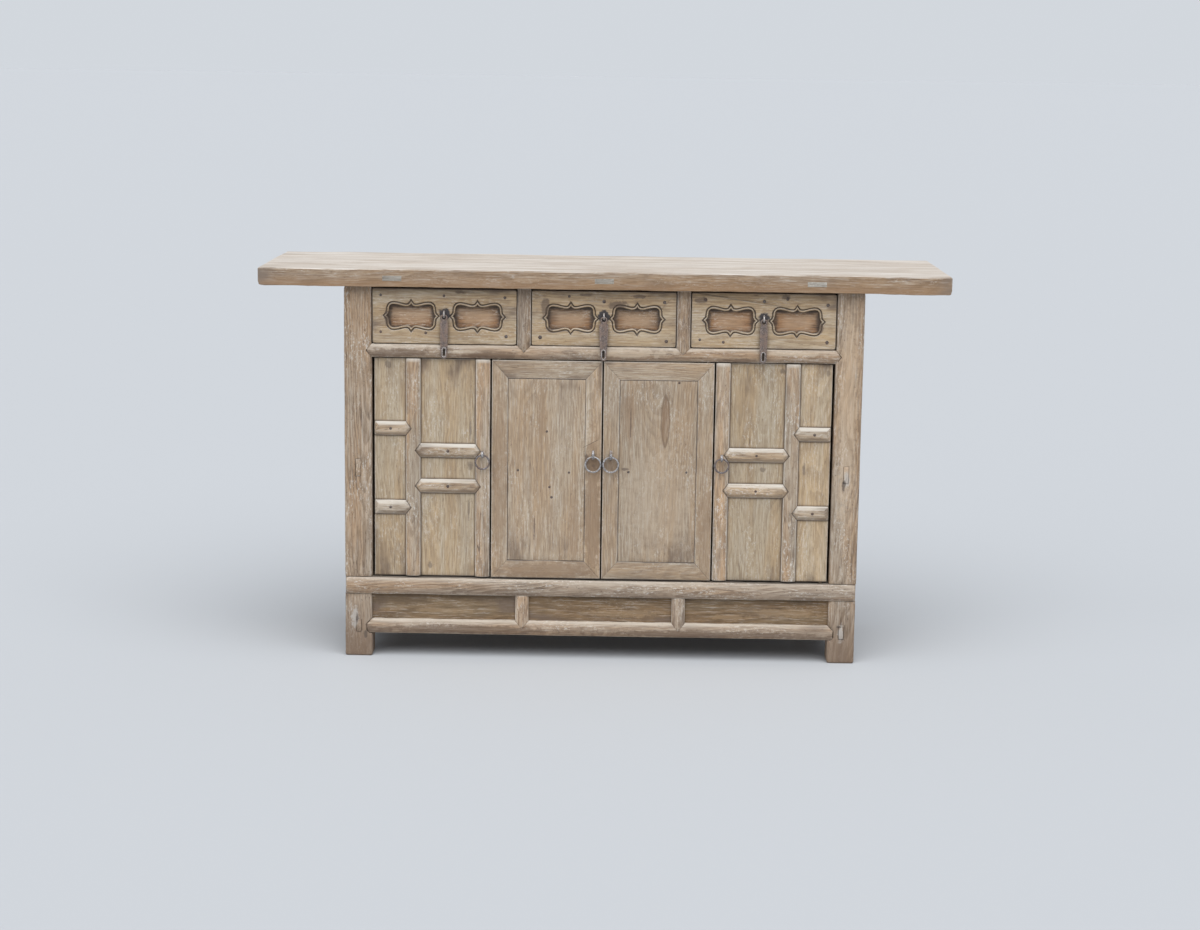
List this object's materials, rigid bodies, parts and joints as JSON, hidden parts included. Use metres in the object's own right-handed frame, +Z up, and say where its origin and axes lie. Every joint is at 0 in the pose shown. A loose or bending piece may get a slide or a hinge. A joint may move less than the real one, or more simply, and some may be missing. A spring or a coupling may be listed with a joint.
{
  "type": "storage cabinet",
  "caption": "Freestanding wooden sideboard cabinet with an overhanging plank top, sliding drawers with hasps and pivoting panelled doors with ring pulls.",
  "frame": {"origin": "on the floor, under the middle of the top board", "axes": "+X to the right as seen from the front, +Y to the back, +Z up"},
  "size_m": [1.525, 0.44, 0.88],
  "materials": {
    "wood_top": "bare weathered plank, pale",
    "wood_frame": "bare weathered hardwood, open grain",
    "wood_drawer_front": "bare weathered board, yellowish",
    "wood_door": "bare weathered board, greyish",
    "wood_apron": "bare weathered board, brown",
    "wood_red": "bare board, reddish brown",
    "wood_inside": "bare unfinished board",
    "patch_filler": "pale grey filler",
    "iron_dark": "forged iron, rusty brown",
    "iron_grey": "forged iron, worn grey"
  },
  "bodies": {
    "carcass": {"top_board": "wood_top", "edge_patches": "patch_filler", "leg_front_left": "wood_frame", "leg_front_right": "wood_frame", "leg_back_left": "wood_frame", "leg_back_right": "wood_frame", "drawer_rail": "wood_frame", "drawer_posts": "wood_frame", "front_top_rail": "wood_inside", "bottom_rail": "wood_frame", "front_stretcher": "wood_frame", "apron_struts": "wood_frame", "apron_panels": "wood_apron", "side_rails": "wood_frame", "side_panels": "wood_door", "back_rails": "wood_inside", "back_boards": "wood_inside", "cupboard_floor": "wood_inside", "shelf": "wood_inside", "drawer_runners": "wood_inside"},
    "drawer_left": {"drawer_left_front": "wood_drawer_front", "drawer_left_backing": "wood_red", "drawer_left_box": "wood_inside", "drawer_left_staple": "iron_dark"},
    "drawer_left_hasp": {"drawer_left_hasp": "iron_dark"},
    "drawer_middle": {"drawer_middle_front": "wood_drawer_front", "drawer_middle_backing": "wood_red", "drawer_middle_box": "wood_inside", "drawer_middle_staple": "iron_dark"},
    "drawer_middle_hasp": {"drawer_middle_hasp": "iron_dark"},
    "drawer_right": {"drawer_right_front": "wood_drawer_front", "drawer_right_backing": "wood_red", "drawer_right_box": "wood_inside", "drawer_right_staple": "iron_dark"},
    "drawer_right_hasp": {"drawer_right_hasp": "iron_dark"},
    "outer_door_left": {"outer_door_left_boards": "wood_door", "outer_door_left_stiles": "wood_door", "outer_door_left_bars": "wood_door", "outer_door_left_back_frame": "wood_door", "outer_door_left_eye": "iron_grey"},
    "outer_door_left_ring": {"outer_door_left_ring": "iron_grey"},
    "outer_door_right": {"outer_door_right_boards": "wood_door", "outer_door_right_stiles": "wood_door", "outer_door_right_bars": "wood_door", "outer_door_right_back_frame": "wood_door", "outer_door_right_eye": "iron_grey"},
    "outer_door_right_ring": {"outer_door_right_ring": "iron_grey"},
    "centre_door_left": {"centre_door_left_stiles": "wood_door", "centre_door_left_rails": "wood_door", "centre_door_left_panel": "wood_door", "centre_door_left_eye": "iron_grey"},
    "centre_door_left_ring": {"centre_door_left_ring": "iron_grey"},
    "centre_door_right": {"centre_door_right_stiles": "wood_door", "centre_door_right_rails": "wood_door", "centre_door_right_panel": "wood_door", "centre_door_right_eye": "iron_grey"},
    "centre_door_right_ring": {"centre_door_right_ring": "iron_grey"}
  },
  "joints": [
    {"name": "drawer_left_slide", "type": "slide", "parent": "carcass", "child": "drawer_left", "axis": [0, -1, 0], "range_m": [0, 0.24]},
    {"name": "drawer_left_hasp_swing", "type": "hinge", "parent": "drawer_left", "child": "drawer_left_hasp", "pos_m": [-0.35333, -0.2039, 0.77905], "axis": [-1, 0, 0], "range_deg": [0, 100]},
    {"name": "drawer_middle_slide", "type": "slide", "parent": "carcass", "child": "drawer_middle", "axis": [0, -1, 0], "range_m": [0, 0.24]},
    {"name": "drawer_middle_hasp_swing", "type": "hinge", "parent": "drawer_middle", "child": "drawer_middle_hasp", "pos_m": [0, -0.2039, 0.77905], "axis": [-1, 0, 0], "range_deg": [0, 100]},
    {"name": "drawer_right_slide", "type": "slide", "parent": "carcass", "child": "drawer_right", "axis": [0, -1, 0], "range_m": [0, 0.24]},
    {"name": "drawer_right_hasp_swing", "type": "hinge", "parent": "drawer_right", "child": "drawer_right_hasp", "pos_m": [0.35333, -0.2039, 0.77905], "axis": [-1, 0, 0], "range_deg": [0, 100]},
    {"name": "outer_door_left_swing", "type": "hinge", "parent": "carcass", "child": "outer_door_left", "pos_m": [-0.4965, -0.181, 0.433], "axis": [0, 0, -1], "range_deg": [0, 100]},
    {"name": "outer_door_left_ring_swing", "type": "hinge", "parent": "outer_door_left", "child": "outer_door_left_ring", "pos_m": [-0.267, -0.2039, 0.466], "axis": [-1, 0, 0], "range_deg": [0, 120]},
    {"name": "outer_door_right_swing", "type": "hinge", "parent": "carcass", "child": "outer_door_right", "pos_m": [0.4965, -0.181, 0.433], "axis": [0, 0, 1], "range_deg": [0, 100]},
    {"name": "outer_door_right_ring_swing", "type": "hinge", "parent": "outer_door_right", "child": "outer_door_right_ring", "pos_m": [0.267, -0.2039, 0.466], "axis": [-1, 0, 0], "range_deg": [0, 120]},
    {"name": "centre_door_left_swing", "type": "hinge", "parent": "carcass", "child": "centre_door_left", "pos_m": [-0.233, -0.1865, 0.433], "axis": [0, 0, -1], "range_deg": [0, 90]},
    {"name": "centre_door_left_ring_swing", "type": "hinge", "parent": "centre_door_left", "child": "centre_door_left_ring", "pos_m": [-0.0198, -0.2039, 0.466], "axis": [-1, 0, 0], "range_deg": [0, 120]},
    {"name": "centre_door_right_swing", "type": "hinge", "parent": "carcass", "child": "centre_door_right", "pos_m": [0.233, -0.1865, 0.433], "axis": [0, 0, 1], "range_deg": [0, 90]},
    {"name": "centre_door_right_ring_swing", "type": "hinge", "parent": "centre_door_right", "child": "centre_door_right_ring", "pos_m": [0.0198, -0.2039, 0.466], "axis": [-1, 0, 0], "range_deg": [0, 120]}
  ]
}
